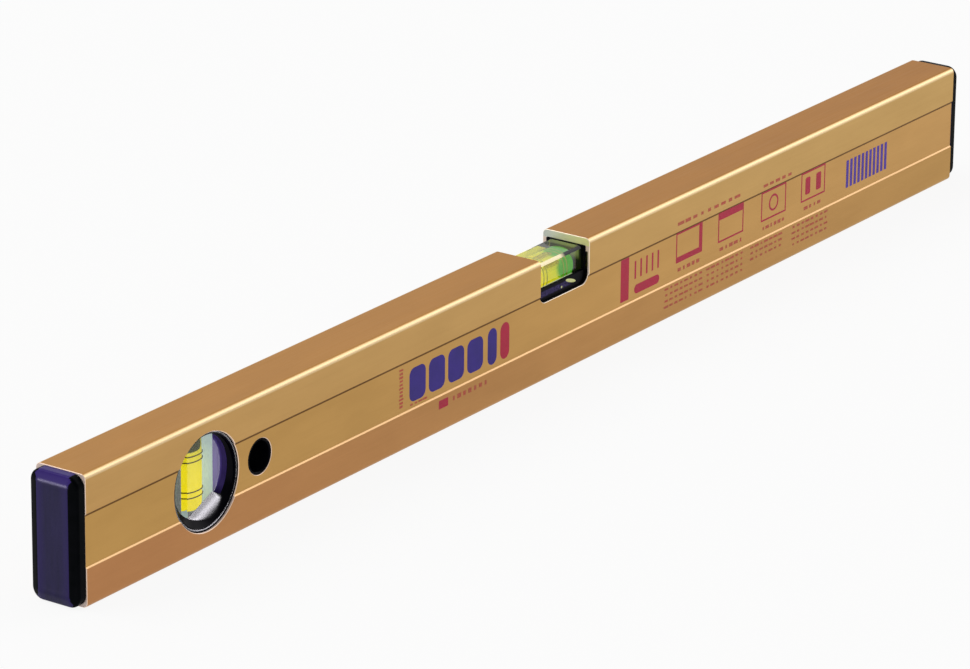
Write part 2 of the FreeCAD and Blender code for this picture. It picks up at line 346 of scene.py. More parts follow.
usualLook = dict(
    # what a finish has unless its own look says otherwise
    mottle=(2.0, 2.0, 2.0), texture=(0.3, 0.3, 0.3), roughness=(0.3, 0.42), bump=0.1, depth=0.02,
    metallic=0.0, specular=0.5, tint=white,
)


def finish(name, look, colouring=mottled):
    # a colour, a roughness that wanders and a fine bump, over one shader
    look = {**usualLook, **look}
    material, tree, shader = startMaterial(name)
    body = colouring(tree, look)
    fine = grain(tree, look["texture"], detail=2.0)
    bump = {"Strength": look["bump"], "Distance": look["depth"] * millimetre, "Height": fine}
    feed(tree, shader, {
        "Base Color": body, "Roughness": ranged(tree, fine, 0.25, 0.75, *look["roughness"]),
        "Normal": addNode(tree, "ShaderNodeBump", bump), "Metallic": look["metallic"],
        "Specular IOR Level": look["specular"], "Specular Tint": look["tint"],
    })
    if "glow" in look:
        feed(tree, shader, {"Emission Color": body, "Emission Strength": look["glow"]})
    return material


def goldColour(tree, look):
    # drawn and anodised aluminium, a shade to each zone of the sides, with painted light: a drift from the left
    # end to the right, painted shade on the upward faces, painted highlights on the upper corners and the band's
    # lower step, and a painted shadow line under the band's upper step
    place, facing = placeOn(tree), facingOn(tree)
    half, edge, bandLow, bandHigh = section["halfLength"], look["edge"], section["bandLow"], section["bandHigh"]
    # the drift of each zone from the left end to the right is painted light
    paintedLightDrift = ranged(tree, place["X"], -half, half)
    zones = {name: blended(tree, paintedLightDrift, *look[name]) for name in ("low", "band", "high", "top")}
    overBand = ranged(tree, place["Z"], bandHigh - edge, bandHigh + edge)
    body = blended(tree, ranged(tree, place["Z"], bandLow - edge, bandLow + edge), zones["low"], zones["band"])
    body = blended(tree, overBand, body, zones["high"])
    sideways = arithmetic(tree, "ABSOLUTE", facing["Y"])
    # a painted shadow line under the band's upper step, where the sides face out
    stepShadow = between(tree, place["Z"], look["stepShadowLow"] - edge / 2, look["stepShadowHigh"] + edge / 2, edge)
    body = blended(tree, product(tree, stepShadow, ranged(tree, sideways, 0.4, 0.6)), body, look["stepShadow"])
    # the upward faces take the top's darker, more orange colour: painted shade
    body = blended(tree, ranged(tree, facing["Z"], *look["topUp"]), body, zones["top"])
    body = blended(tree, ranged(tree, grain(tree, look["mottle"]), 0.3, 0.7), body, look["darker"], "MULTIPLY")
    # a painted highlight on the upper corners, and a paler painted highlight on the band's lower step
    upward = ranged(tree, facing["Z"], *look["cornerUp"])
    corner = product(tree, ranged(tree, sideways, *look["cornerOut"]), upward)
    return blended(tree, corner, body, blended(tree, overBand, look["step"], look["corner"]))


gold = finish("goldAnodised", dict(
    # each zone of the sides, and the top, at the left end and at the right end; the change from left to right is
    # painted light, and the top's colour is painted shade
    low=(paint(187, 131, 83), paint(192, 148, 84)), band=(paint(197, 153, 86), paint(202, 156, 93)),
    high=(paint(203, 159, 97), paint(202, 163, 99)), top=(paint(182, 129, 62), paint(168, 108, 24)),
    # painted highlights on the upper corners and the band's lower step, and a painted shadow line under the
    # band's upper step
    corner=paint(255, 226, 178), step=paint(232, 190, 142), stepShadow=paint(112, 76, 34),
    darker=(0.93, 0.92, 0.9, 1.0),
    cornerUp=(0.0, 0.4), cornerOut=(0.32, 0.78), topUp=(0.75, 0.98), edge=0.2, stepShadowLow=34.4, stepShadowHigh=35.4,
    mottle=(30.0, 9.0, 9.0), texture=(45.0, 0.35, 0.35), roughness=(0.36, 0.44), bump=0.12, depth=0.006,
    metallic=0.92, tint=(1.0, 0.95, 0.85, 1.0),
), goldColour)


def cutColour(tree, look):
    # milled faces: pale; a painted reflection of the vial, pale yellow fading to grey across the wall, on the
    # top wall's milled faces by the vial; and painted shade, near black, on the inner part of the milled faces
    # in the notch and the window
    place = placeOn(tree)
    start, half, top, reach = (look[name] for name in ("vialReflectionFrom", "vialReflectionHalf", "innerShadeTop", "innerShadeHalf"))
    edge = look["edge"]
    inNotch = falling(tree, arithmetic(tree, "ABSOLUTE", place["X"]), half, half + 1)
    wall = ranged(tree, place["Y"], -section["halfWidth"], section["halfWidth"])
    # a painted reflection of the vial on the top wall's milled faces in the notch
    vialReflection = product(tree, ranged(tree, place["Z"], start, start + 0.4), inNotch)
    body = blended(tree, vialReflection, mottled(tree, look), blended(tree, wall, *look["vialReflection"]))
    inWindow = between(tree, place["X"], *look["windowZone"], 1.0)
    # painted shade, near black, on the inner part of the milled faces in the notch and the window
    innerShade = product(
        tree, falling(tree, place["Z"], top - edge, top + edge),
        falling(tree, arithmetic(tree, "ABSOLUTE", place["Y"]), reach - edge, reach + edge),
        arithmetic(tree, "MAXIMUM", inNotch, inWindow),
    )
    return blended(tree, innerShade, body, look["innerShade"])


cutMetal = finish("cutMetal", dict(
    colour=paint(248, 226, 216), shade=paint(240, 216, 204),
    # a painted reflection of the vial, pale yellow to grey, and a near-black painted shade for the inner milled
    # faces
    vialReflection=(paint(250, 248, 168), paint(214, 222, 218)),
    vialReflectionFrom=46.6, vialReflectionHalf=18.0, innerShade=paint(6, 6, 9), innerShadeHalf=10.2, innerShadeTop=44.6,
    windowZone=(-250.0, -202.0),
    edge=0.05, mottle=(3.0, 3.0, 3.0), texture=(0.4, 0.4, 2.5), bump=0.15, depth=0.008, metallic=0.15,
), cutColour)


def rimColour(tree, look):
    # the chamfers: bright round the notch, duller round the window and the hang hole; they also glow, a painted
    # highlight
    dullTone = falling(tree, placeOn(tree)["X"], look["dullToneFrom"] - 1, look["dullToneFrom"])
    return blended(tree, dullTone, mottled(tree, look), look["dullTone"])


rimMetal = finish("rimMetal", dict(
    colour=paint(252, 238, 218), shade=paint(246, 228, 206), dullTone=paint(236, 206, 182), dullToneFrom=-100.0,
    # the chamfers' glow is a painted highlight
    glow=0.28,
    mottle=(3.0, 3.0, 3.0), texture=(0.4, 0.4, 0.4), depth=0.008, metallic=0.3,
), rimColour)


def violetColour(tree, look):
    # violet moulding whose flanks are the purer violet, with a painted highlight, a paler violet, on the
    # upward-facing bevel
    across = arithmetic(tree, "ABSOLUTE", placeOn(tree)["Y"])
    body = blended(tree, ranged(tree, across, *look["flankOut"]), mottled(tree, look), look["flank"])
    # the upward-facing bevel takes a painted highlight
    return blended(tree, ranged(tree, facingOn(tree)["Z"], *look["bevelUp"]), body, look["bevel"])


violetPlastic = finish("violetPlastic", dict(
    # the bevel colour is a painted highlight
    colour=paint(38, 33, 74), shade=paint(31, 28, 62), bevel=paint(54, 36, 116), flank=paint(44, 33, 92),
    flankOut=(3.0, 7.5), bevelUp=(0.05, 0.35), mottle=(1.8, 1.8, 16.0), roughness=(0.24, 0.34), bump=0.08,
    depth=0.01,
    specular=0.12, tint=(0.8, 0.74, 1.0, 1.0),
), violetColour)


def carrierColour(tree, look):
    # speckled dark moulding, near black outside its speckled band as painted shade, with a painted highlight
    # line where the clear block meets its lip
    place = placeOn(tree)
    half, lip, end = look["edgeHighlightHalf"], look["lipTop"], look["edgeHighlightTo"]
    # a painted highlight line along the lip where the clear block meets it
    edgeHighlight = product(
        tree, falling(tree, arithmetic(tree, "ABSOLUTE", place["Y"]), half, half + 0.05),
        between(tree, place["Z"], lip - 0.2, lip + 0.2, 0.1), falling(tree, place["X"], end, end + 0.5),
    )
    # outside this speckled band the moulding takes a near-black painted shade
    speckled = between(tree, place["Z"], *look["speckledZ"], 0.5)
    speckled = product(tree, speckled, falling(tree, place["X"], *look["speckledX"]))
    return blended(tree, edgeHighlight, blended(tree, speckled, look["dark"], mottled(tree, look)), look["edgeHighlight"])


carrierPlastic = finish("carrierPlastic", dict(
    colour=paint(26, 22, 44), shade=paint(78, 68, 122), dark=paint(3, 4, 7), edgeHighlight=paint(226, 230, 206),
    edgeHighlightHalf=8.1, edgeHighlightTo=9.0, lipTop=37.5, speckledZ=(33.6, 36.4), speckledX=(4.0, 8.0),
    mottle=(1.3, 1.3, 0.7),
    texture=(0.25, 0.25, 0.25), roughness=(0.34, 0.5), bump=0.25, specular=0.05, tint=(0.75, 0.7, 1.0, 1.0),
), carrierColour)


def bondColour(tree, look):
    # the clear block's glued ends: dark, paler green towards the top, except near the front
    place = placeOn(tree)
    film = product(tree, ranged(tree, place["Z"], *look["filmZ"]), ranged(tree, place["Y"], *look["filmY"]))
    return blended(tree, film, mottled(tree, look), look["film"])


bondedFace = finish("bondedFace", dict(
    colour=paint(12, 14, 14), shade=paint(34, 40, 26), film=paint(146, 158, 98), filmZ=(40.5, 43.0),
    filmY=(-6.0, -4.0),
    roughness=(0.4, 0.5), bump=0.05, specular=0.05,
), bondColour)


def edgeColour(tree, look):
    # the clear block's milled edge: a pale painted highlight that glows, and dull where the carrier's post
    # stands behind it
    return blended(tree, ranged(tree, placeOn(tree)["X"], *look["dullX"]), mottled(tree, look), look["dull"])


# the clear block's milled faces below glow a little: painted light
millLook = dict(roughness=(0.5, 0.6), specular=0.1, glow=0.4)
# a painted highlight on the level block's upper front chamfer
paleEdge = finish("paleEdge", dict(
    millLook, colour=paint(250, 236, 196), shade=paint(240, 226, 186), dull=paint(66, 66, 68),
    dullX=(2.0, 5.0),
    mottle=(1.6, 1.6, 1.6),
), edgeColour)
# the frosted end face also glows: painted light
frostedFace = finish("frostedFace", dict(
    millLook, colour=paint(192, 212, 222), shade=paint(180, 200, 210), mottle=(1.6, 1.6, 1.6), glow=0.45,
))
# a yellow backing under the level block, which glows: painted light
paleBacking = finish("paleBacking", dict(
    millLook, colour=paint(240, 224, 40), shade=paint(226, 214, 42), mottle=(1.8, 1.8, 1.8),
))


def housingColour(tree, look):
    # glossy black round the mouth as painted shade, violet that is lighter deeper in as painted light, darker
    # towards the bottom as painted shade, and painted green light from the vial beside it
    place = placeOn(tree)
    depth = arithmetic(tree, "ABSOLUTE", place["Y"])
    wall = blended(tree, ranged(tree, depth, *look["deepY"]), look["deep"], look["near"])
    wall = blended(tree, falling(tree, place["Z"], *look["lowZ"]), wall, look["low"], "MULTIPLY")
    wall = blended(tree, falling(tree, place["X"], *look["leftX"]), wall, look["left"])
    streaks = ranged(tree, grain(tree, look["streaks"]), 0.35, 0.65)
    wall = blended(tree, streaks, wall, look["streak"], "MULTIPLY")
    return blended(tree, ranged(tree, depth, *look["frontY"]), wall, look["front"])


housingPlastic = finish("housingPlastic", dict(
    # front is painted shade, deep and near painted light, low a painted shade, left a painted green light
    front=paint(4, 4, 9), near=paint(84, 68, 126), deep=paint(112, 92, 178), left=paint(72, 92, 50),
    streak=(0.72, 0.68, 0.82, 1.0), low=(0.16, 0.13, 0.2, 1.0), frontY=(7.3, 7.4), deepY=(4.5, 5.4),
    lowZ=(15.5, 19.0), leftX=(-233.9, -233.5), streaks=(1.1, 1.1, 12.0), roughness=(0.14, 0.24),
    bump=0.06, depth=0.01, specular=0.05, tint=(0.9, 0.83, 1.0, 1.0),
), housingColour)

mouldedLook = dict(mottle=(4.0, 4.0, 4.0), bump=0.08, depth=0.01)
capSidePlastic = finish("capSidePlastic", dict(
    mouldedLook, colour=paint(2, 4, 6), shade=paint(7, 8, 12), specular=0.02,
))
blackPlastic = finish("blackPlastic", dict(
    mouldedLook, colour=paint(2, 2, 6), shade=paint(6, 6, 12), specular=0.03, tint=(0.8, 0.78, 1.0, 1.0),
))
# a painted reflection of the vial, glowing a little
reflectionPatch = finish("reflectionPatch", dict(
    colour=paint(206, 212, 120), shade=paint(226, 228, 172), mottle=(1.2, 1.2, 1.2), roughness=(0.3, 0.4),
    specular=0.3, glow=0.1,
))
plugPlastic = finish("plugPlastic", dict(
    colour=paint(34, 66, 40), shade=paint(24, 46, 32), roughness=(0.25, 0.4),
))
ringLook = dict(mottle=(1.0, 1.0, 1.0), texture=(0.2, 0.2, 0.2), roughness=(0.4, 0.55), bump=0.05, specular=0.1)
ringPaint = finish("ringPaint", dict(ringLook, colour=paint(96, 84, 14), shade=paint(70, 62, 12)))
paleRingPaint = finish("paleRingPaint", dict(ringLook, colour=paint(190, 190, 60), shade=paint(168, 176, 56)))
inkLook = dict(texture=(0.25, 0.25, 0.25), roughness=(0.45, 0.6), bump=0.06, specular=0.3)
redInk = finish("redInk", dict(
    inkLook, colour=paint(202, 38, 74), shade=paint(190, 44, 72), mottle=(5.0, 5.0, 5.0),
))
paleRedInk = finish("paleRedInk", dict(inkLook, colour=paint(206, 92, 72), shade=paint(194, 104, 76)))
blueInk = finish("blueInk", dict(
    inkLook, colour=paint(62, 42, 150), shade=paint(54, 38, 134), mottle=(7.0, 7.0, 7.0),
))
violetInk = finish("violetInk", dict(
    inkLook, colour=paint(96, 66, 186), shade=paint(80, 52, 168), mottle=(3.0, 3.0, 3.0),
))
cupSteel = finish("cupSteel", dict(
    colour=paint(176, 178, 182), shade=paint(150, 152, 158), mottle=(3.0, 3.0, 3.0), texture=(4.0, 0.3, 0.3),
    roughness=(0.3, 0.45), metallic=0.95,
))
magnetPlate = finish("magnetPlate", dict(
    colour=paint(205, 205, 208), shade=paint(188, 188, 194), texture=(0.2, 0.2, 0.2), roughness=(0.18, 0.3),
    bump=0.05, metallic=1.0,
))
pottingResin = finish("pottingResin", dict(
    colour=paint(30, 30, 34), shade=paint(44, 44, 48), mottle=(1.5, 1.5, 1.5), texture=(0.4, 0.4, 0.4),
    roughness=(0.35, 0.55), bump=0.2,
))

acrylicLook = dict(
    colour=(0.93, 0.99, 0.93, 1.0), shadow=(0.86, 0.93, 0.84, 1.0), scratches=(0.6, 0.6, 6.0),
    roughness=(0.0, 0.03),
    ior=1.49, boreIor=1.035,
)


def clearFinish(name, ior):
    # polished acrylic; shadow and diffuse rays pass straight through, so that the fluid inside is lit
    look = acrylicLook
    material, tree, shader = startMaterial(name)
    scratches = ranged(tree, grain(tree, look["scratches"]), 0.4, 0.8, *look["roughness"])
    feed(tree, shader, {
        "Base Color": look["colour"], "Transmission Weight": 1.0, "IOR": ior, "Roughness": scratches,
    })
    clear = addNode(tree, "ShaderNodeBsdfTransparent", {"Color": look["shadow"]})
    rays = addNode(tree, "ShaderNodeLightPath", output=None)
    passing = arithmetic(tree, "MAXIMUM", rays["Is Shadow Ray"], rays["Is Diffuse Ray"])
    surfaced(tree, mixed(tree, passing, shader.outputs[0], clear))
    return material


def partlyClear(material, through, share):
    # lets what the shader doesn't take go straight through
    tree = material.node_tree
    clear = addNode(tree, "ShaderNodeBsdfTransparent", {"Color": through})
    surfaced(tree, mixed(tree, share, clear, tree.nodes["Principled BSDF"].outputs[0]))
    return material


fluidLook = dict(
    # the green right end is painted shade, and the glow painted light
    colour=paint(248, 236, 40), shade=paint(238, 228, 44), green=paint(92, 184, 56),
    through=(0.97, 0.99, 0.7, 1.0),
    glow=0.27, near=0.02, far=0.94, greenX=(6.5, 9.0), mottle=(4.0, 4.0, 4.0), roughness=0.3,
)


def fluidFinish():
    # bright dyed fluid: clear at the near wall, so that the bubble shows, and its dye bright at the far one; its
    # glow is painted light, and its green right end painted shade
    look = fluidLook
    material, tree, shader = startMaterial("vialFluid")
    dyeAndShade = blended(tree, ranged(tree, placeOn(tree)["X"], *look["greenX"]), mottled(tree, look), look["green"])
    feed(tree, shader, {
        "Base Color": dyeAndShade, "Emission Color": dyeAndShade, "Emission Strength": look["glow"],
        "Roughness": look["roughness"],
        "Specular IOR Level": 0.0,
    })
    side = addNode(tree, "ShaderNodeNewGeometry", output="Backfacing")
    return partlyClear(material, look["through"], ranged(tree, side, 0.0, 1.0, look["near"], look["far"]))


bubbleLook = dict(texture=(0.5, 0.5, 0.5), roughness=(0.08, 0.16), bump=0.02)
# a dark green painted reflection of the dark surroundings
uprightBubbleLook = dict(
    bubbleLook, colour=paint(10, 26, 14), shade=paint(40, 60, 34), mottle=(2.2, 2.2, 2.2),
    through=(0.8, 0.9, 0.5, 1.0), body=0.93,
)
# brown and pale mottling: painted reflection and painted highlight
longBubbleLook = dict(
    bubbleLook, colour=paint(96, 70, 48), shade=paint(240, 232, 180), mottle=(0.8, 0.6, 0.6), specular=0.8,
    through=(0.97, 0.98, 0.8, 1.0), body=0.8, bodyZ=(41.3, 42.9),
)


def bubbleFinish(name, look):
    # an air bubble by its skin, coloured with painted reflection: darker than the fluid, partly clear, clearer
    # low down where asked
    material = finish(name, look)
    body = look["body"]
    if "bodyZ" in look:
        tree = material.node_tree
        body = ranged(tree, placeOn(tree)["Z"], *look["bodyZ"], 0.05, body)
    return partlyClear(material, look["through"], body)


acrylic = clearFinish("clearAcrylic", acrylicLook["ior"])
boreAcrylic = clearFinish("boreAcrylic", acrylicLook["boreIor"])
vialFluid = fluidFinish()
uprightBubble = bubbleFinish("uprightBubble", uprightBubbleLook)
longBubble = bubbleFinish("longBubble", longBubbleLook)
print("stage: materials made")


# The aluminium box

openings = dict(
    windowX=-226.0, windowRadius=18.7, holeX=-194.8, holeRadius=6.9,
    notchHalf=16.6, notchBottom=32.1, notchRound=4.0, edge=0.45, holeEdge=0.28,
    pocketX=150.0, pocketLength=64.0, pocketWidth=11.0, pocketDepth=3.0, overshoot=1.0,
    skinDepth=0.9, soleDepth=0.5, holeMargin=10.0,
)
acrossY = Matrix.Rotation(math.radians(90), 4, "Z")
throughWindow = Matrix.Translation((openings["windowX"], 0, middleZ)) @ acrossY
throughHole = Matrix.Translation((openings["holeX"], 0, middleZ)) @ acrossY


def sectionOutline():
    # the box's outer section, going round from the middle of the sole
    half, high = section["halfWidth"], section["height"]
    low, top, depth = section["bandLow"], section["bandHigh"], section["bandDepth"]
    side = [
        (0, 0), (half, 0), (half, low), (bandFace, low + depth), (bandFace, top - depth), (half, top),
        (half, high),
        (0, high),
    ]
    points = []
    for index in range(len(side) - 2):
        outer = index in (0, len(side) - 3)
        rounding, steps = (section["cornerRound"], 8) if outer else (section["bandRound"], 2)
        points += cornerArc(*side[index:index + 3], rounding, steps)
    return points + [(-y, z) for y, z in reversed(points)]


def boxBody():
    look = openings
    half, past = section["halfLength"], look["overshoot"]
    beyond = section["halfWidth"] + past
    body = bmesh.new()
    for face in addPrism(body, sectionOutline(), -half, half, "x")[-2:]:
        face.material_index = 1
    obj = rawObject("boxBody", body, gold, cutMetal, rimMetal)

    def hollow(mesh):
        size = (section["hollow" + name] for name in ("Half", "Low", "High", "Round"))
        addPrism(mesh, roundedBox(*size, 4), -half - past, half + past, "x")
        markFaces(mesh, 0)

    def window(mesh):
        addTube(mesh, -beyond, beyond, look["windowRadius"], throughWindow, 128)

    def hangHole(mesh):
        addTube(mesh, -beyond, beyond, look["holeRadius"], throughHole, 128)

    def notch(mesh):
        low, high, side = look["notchBottom"], section["height"] + past, look["notchHalf"]
        corner = cornerArc((side, high), (side, low), (0, low), look["notchRound"], 12)
        outline = [(side, high)] + corner + [(-x, z) for x, z in reversed(corner)] + [(-side, high)]
        addPrism(mesh, outline, -beyond, beyond, "y")

    def pocket(mesh, side):
        outline = stadium(side * look["pocketX"], look["pocketLength"] / 2, look["pocketWidth"] / 2)
        addPrism(mesh, outline, -past, look["pocketDepth"], "z")

    cutters = []
    for build, *values in ((hollow,), (window,), (hangHole,), (notch,), (pocket, -1), (pocket, 1)):
        mesh = bmesh.new()
        build(mesh, *values)
        if build is not hollow:
            markFaces(mesh, 1)
        cutters.append(rawObject("cutter", mesh, gold, cutMetal))
    cutAway(obj, cutters)
    chamferOpenings(obj)
    return finishPiece(obj, "box_profile", angle=32)


def chamferOpenings(obj):
    # a bright chamfer where the cutting tools met the outside of the box
    mesh = bmesh.new()
    mesh.from_mesh(obj.data)
    bmesh.ops.remove_doubles(mesh, verts=mesh.verts, dist=1e-4)
    bmesh.ops.dissolve_degenerate(mesh, edges=mesh.edges, dist=1e-4)
    look, past = openings, openings["overshoot"]
    skin = section["hollowHalf"] + look["skinDepth"]
    rims = {"edge": [], "holeEdge": []}
    for edge in mesh.edges:
        if len(edge.link_faces) != 2:
            continue
        indices = {face.material_index for face in edge.link_faces}
        middle = (edge.verts[0].co + edge.verts[1].co) / 2
        onTop, onSole = middle.z > section["hollowHigh"] + past, middle.z < look["soleDepth"]
        if indices == {0, 1} and (abs(middle.y) > skin or onTop or onSole):
            alongSide = past - section["halfLength"] < middle.x < look["holeX"] + look["holeMargin"]
            inHole = alongSide and past < middle.z < section["height"] - past
            rims["holeEdge" if inHole else "edge"].append(edge)
    for width, edges in rims.items():
        bmesh.ops.bevel(
            mesh, geom=edges, offset=look[width], offset_type="OFFSET", segments=1, profile=0.5,
            affect="EDGES", clamp_overlap=True, material=2,
        )
    bmesh.ops.recalc_face_normals(mesh, faces=mesh.faces)
    mesh.to_mesh(obj.data)
    mesh.free()


boxBody()
print("stage: box body cut and chamfered")


# Geometry node trees for what repeats

def startTree(name, given):
    tree = bpy.data.node_groups.new(name, "GeometryNodeTree")
    for label, kind in given.items():
        tree.interface.new_socket(label, in_out="INPUT", socket_type="NodeSocket" + kind)
    tree.interface.new_socket("Geometry", in_out="OUTPUT", socket_type="NodeSocketGeometry")
    return tree, addNode(tree, "NodeGroupInput", output=None)


def endTree(tree, instances, material):
    realized = addNode(tree, "GeometryNodeRealizeInstances", {"Geometry": instances})
    painted = addNode(tree, "GeometryNodeSetMaterial", {"Geometry": realized, "Material": material})
    feed(tree, tree.nodes.new("NodeGroupOutput"), {"Geometry": painted})
    return tree


def barRowTree():
    # a row of equal bars; each may be shortened at random
    tree, given = startTree("barRow", {
        "Count": "Int", "Start": "Vector", "Step": "Vector", "Size": "Vector", "Least": "Vector",
        "Seed": "Int",
        "Material": "Material",
    })
    line = addNode(tree, "GeometryNodeMeshLine", {
        "Count": given["Count"], "Start Location": given["Start"], "Offset": given["Step"],
    }, mode="OFFSET")
    bar = addNode(tree, "GeometryNodeMeshCube", {"Size": given["Size"]})
    length = addNode(tree, "FunctionNodeRandomValue", {
        0: given["Least"], 1: plain, "Seed": given["Seed"],
    }, data_type="FLOAT_VECTOR")
    placed = addNode(tree, "GeometryNodeInstanceOnPoints", {"Points": line, "Instance": bar, "Scale": length})
    return endTree(tree, placed, given["Material"])


def ringMarkTree():
    # thin hoops round the vial's axis, two on each side of its middle
    tree, given = startTree("ringMarks", {
        "Hoop Radius": "Float", "Width": "Float", "Height": "Float", "Inner Offset": "Float",
        "Outer Offset": "Float",
        "Material": "Material",
    })
    aroundAxis = {"Resolution": 64, "Radius": given["Hoop Radius"]}
    circle = addNode(tree, "GeometryNodeCurvePrimitiveCircle", aroundAxis)
    throughWire = {"Width": given["Height"], "Height": given["Width"]}
    wire = addNode(tree, "GeometryNodeCurvePrimitiveQuadrilateral", throughWire)
    hoop = addNode(tree, "GeometryNodeCurveToMesh", {"Curve": circle, "Profile Curve": wire})
    both = tree.nodes.new("GeometryNodeJoinGeometry")
    for offset in ("Outer Offset", "Inner Offset"):
        start = addNode(tree, "ShaderNodeCombineXYZ", {"X": arithmetic(tree, "MULTIPLY", given[offset], -1.0)})
        step = addNode(tree, "ShaderNodeCombineXYZ", {"X": arithmetic(tree, "MULTIPLY", given[offset], 2.0)})
        pair = {"Count": 2, "Start Location": start, "Offset": step}
        feed(tree, both, {"Geometry": addNode(tree, "GeometryNodeMeshLine", pair, mode="OFFSET")})
    placed = addNode(tree, "GeometryNodeInstanceOnPoints", {
        "Points": both.outputs[0], "Instance": hoop, "Rotation": (0.0, math.radians(90), 0.0),
    })
    return endTree(tree, placed, given["Material"])


def grow(tree, values):
    # runs a tree once with the given inputs and hands back its plain mesh, in millimetres
    holder = linked("grow", bpy.data.meshes.new("grow"))
    modifier = holder.modifiers.new("grow", "NODES")
    modifier.node_group = tree
    for item in tree.interface.items_tree:
        if item.in_out == "INPUT":
            modifier[item.identifier] = values[item.name]
    graph = bpy.context.evaluated_depsgraph_get()
    result = bpy.data.meshes.new_from_object(holder.evaluated_get(graph), depsgraph=graph)
    old = holder.data
    bpy.data.objects.remove(holder)
    bpy.data.meshes.remove(old)
    return result


barRow = barRowTree()
ringMarks = ringMarkTree()


# End caps

capLook = dict(
    thickness=5.0, inset=0.4, cornerRound=4.6, leastRound=1.0, bevelDepth=1.3, bevelWidth=3.6, softEdge=0.9,
    panelMargin=6.0, panelDepth=0.06, panelRound=2.0, panelEdge=0.4, endFacing=0.3, sideFacing=0.2,
    litTopFacing=0.5,
    plugLength=14.0, plugPlay=0.35, plugWall=2.0, plugRound=0.8, crushOffset=14.0, crushRadius=0.343,
)


def endCap(side, label):
    look = capLook
    base = -section["halfLength"]
    outer, plugEnd = base - look["thickness"], base + look["plugLength"]
    halfY, low, high = section["halfWidth"] - look["inset"], look["inset"], section["height"] - look["inset"]

    def headLoop(x, shrink, radius):
        return [(x, y, z) for y, z in roundedBox(halfY - shrink, low + shrink, high - shrink, radius)]

    def plugLoop(x, inward):
        gap = look["plugPlay"] + inward
        wall, bottom, top = section["hollowHalf"] - gap, section["hollowLow"] + gap, section["hollowHigh"] - gap
        return [(x, y, z) for y, z in roundedBox(wall, bottom, top, look["plugRound"])]

    loops = [plugLoop(x, inward) for x, inward in (
        (base, look["plugWall"]), (plugEnd, look["plugWall"]), (plugEnd, 0), (base, 0),
    )]
    rim = [
        (base, 0), (outer + look["bevelDepth"], 0), (outer, look["bevelWidth"]), (outer, look["panelMargin"]),
    ]
    for x, shrink in softened(rim, look["softEdge"])[:-1]:
        loops.append(headLoop(x, shrink, max(look["cornerRound"] - shrink, look["leastRound"])))
    edge = look["panelEdge"]
    loops.append(headLoop(outer, look["panelMargin"] - edge, look["panelRound"] + edge))
    loops.append(headLoop(outer + look["panelDepth"], look["panelMargin"], look["panelRound"]))
    mesh = bmesh.new()
    addLoft(mesh, loops)
    for offset in (-look["crushOffset"], 0, look["crushOffset"]):
        for wall in (-1, 1):
            place = Matrix.Translation((0, wall * (section["hollowHalf"] - look["plugPlay"]), middleZ + offset))
            addTube(mesh, base, plugEnd, look["crushRadius"], place, 12)
    if side > 0:
        bmesh.ops.rotate(mesh, cent=(0, 0, 0), matrix=Matrix.Rotation(math.pi, 3, "Z"), verts=mesh.verts)
    obj = rawObject("endCap" + label, mesh, violetPlastic, capSidePlastic)
    for face in obj.data.polygons:
        # only the left cap's upward faces take the violet: painted light on that top; the right cap's top stays
        # black
        violet = abs(face.normal.x) > look["endFacing"] or (side < 0 and face.normal.z > look["litTopFacing"])
        face.material_index = 0 if violet and abs(face.normal.y) < look["sideFacing"] else 1
    return finishPiece(obj, "end_cap_" + label.lower())


endCap(-1, "Left")
endCap(1, "Right")
print("stage: end caps moulded")


# Vials

vialLook = dict(
    side=15.0, bevel=0.4, wideBevel=1.1, boreHalf=13.5, boreRadius=4.9, boreEnd=4.7, boreRound=2.4,
    plugRadius=3.6,
    ringInner=5.7, ringOuter=7.9, ringWidth=0.4, ringHeight=0.3, ringSkin=0.05, boreGap=0.03, seatGap=0.04,
    plugSunk=0.1, plugGap=0.05, plugEdge=0.3, endFacing=0.9, chamferFacing=0.2, levelHalf=16.0,
    levelAxisZ=39.2, plumbHalf=18.6, plumbMiddle=27.0,
    levelBubbleRadius=1.9, levelBubbleHalf=5.5, levelBubbleLift=2.6,
    plumbBubbleRadius=4.3, plumbBubbleStart=-13.3, plumbBubbleHeight=4.4, plumbBubbleRound=1.6,
)


def boreOutline(gap):
    # half of the bore's section from its plugged end to its rounded end
    look = vialLook
    half, crown, end = (look[name] - gap for name in ("boreHalf", "boreRadius", "boreEnd"))
    rounding, count = look["boreRound"], 16
    barrelEnd = half - rounding
    points = [(-half, 0.0)]
    for i in range(count + 1):
        x = -half + (barrelEnd + half) * i / count
        points.append((x, end + (crown - end) * max(1 - (x / half) ** 2, 0)))
    return points + arc((barrelEnd, end - rounding), rounding, 90, -90, 8)[1:] + [(half, 0.0)]


